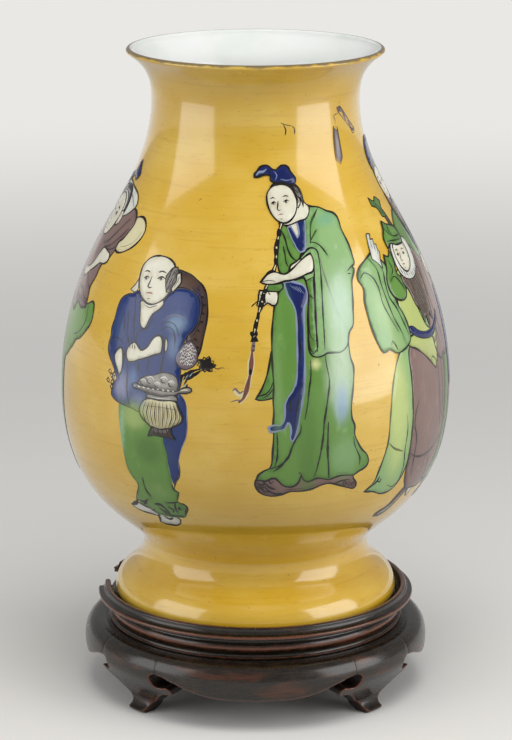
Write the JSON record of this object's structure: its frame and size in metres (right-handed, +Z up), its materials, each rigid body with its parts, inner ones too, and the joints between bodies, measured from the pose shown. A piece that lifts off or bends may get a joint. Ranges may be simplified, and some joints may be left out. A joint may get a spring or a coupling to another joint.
{
  "type": "baluster vase on stand",
  "caption": "Glazed porcelain baluster vase with a flared mouth, full shoulder and spread foot, set in the well of a round hardwood stand with scrolled legs.",
  "frame": {"origin": "on the floor under the middle of the stand, on the axis of the vase", "axes": "+Z up along the axis of the vase, -Y towards the front of the picture, +X to its right"},
  "size_m": [0.2868, 0.2868, 0.4783],
  "materials": {
    "glaze": "opaque yellow enamel on porcelain, glossy",
    "rosewood": "dark stained hardwood, rubbed to a satin shine",
    "plain_wood": "plain planed wood, matt"
  },
  "bodies": {
    "stand": {"stand_board": "plain_wood", "board_batten": "plain_wood", "rim_front_right": "rosewood", "rim_back_right": "rosewood", "rim_back_left": "rosewood", "rim_front_left": "rosewood", "waist_front": "rosewood", "waist_right": "rosewood", "waist_back": "rosewood", "waist_left": "rosewood", "leg_front_right": "rosewood", "leg_back_right": "rosewood", "leg_back_left": "rosewood", "leg_front_left": "rosewood", "apron_front": "rosewood", "apron_right": "rosewood", "apron_back": "rosewood", "apron_left": "rosewood"},
    "vase": {"vase": "glaze"}
  },
  "joints": [
    {"name": "vase_lift", "type": "slide", "parent": "stand", "child": "vase", "axis": [0, 0, 1], "range_m": [0, 0.06]}
  ]
}
